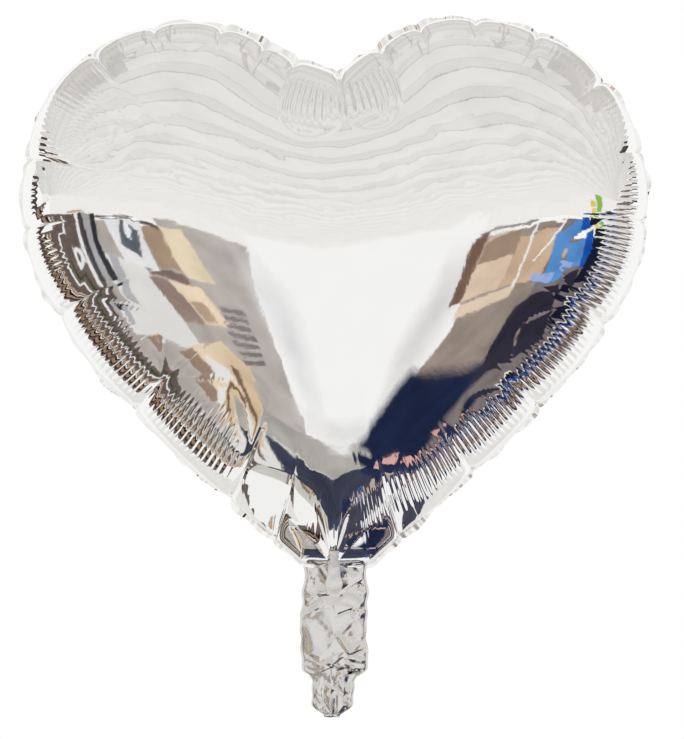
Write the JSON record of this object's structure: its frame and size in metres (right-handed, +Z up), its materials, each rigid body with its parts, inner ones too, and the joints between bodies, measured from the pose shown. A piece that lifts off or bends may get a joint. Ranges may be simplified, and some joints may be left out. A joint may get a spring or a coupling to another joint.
{
  "type": "heart-shaped foil balloon",
  "caption": "Inflated heart-shaped foil balloon: two puffed films sealed round the edge, a flat filling tail below the tip that folds at the neck and near its end.",
  "frame": {"origin": "middle of the neck, on the line where the heart's tip folds into the filling tail", "axes": "+Z up through the heart, +X across it to the viewer's right, -Y out of the front face"},
  "size_m": [0.37, 0.1722, 0.4128],
  "materials": {
    "foil": "mirror-bright vapour-coated film",
    "valve_film": "milky, see-through"
  },
  "bodies": {
    "heart": {"front_foil_panel": "foil", "back_foil_panel": "foil", "valve_film_front": "valve_film", "valve_film_back": "valve_film"},
    "tail": {"tail_front_ply": "foil", "tail_back_ply": "foil", "valve_inlet_front": "valve_film", "valve_inlet_back": "valve_film"},
    "tail_end": {"tail_end_front_ply": "foil", "tail_end_back_ply": "foil"}
  },
  "joints": [
    {"name": "tail_swing", "type": "hinge", "parent": "heart", "child": "tail", "pos_m": [0, 0, 0], "axis": [1, 0, 0], "range_deg": [-90, 90]},
    {"name": "tail_end_fold", "type": "hinge", "parent": "tail", "child": "tail_end", "pos_m": [0, 0, -0.064], "axis": [1, 0, 0], "range_deg": [-110, 110]}
  ]
}
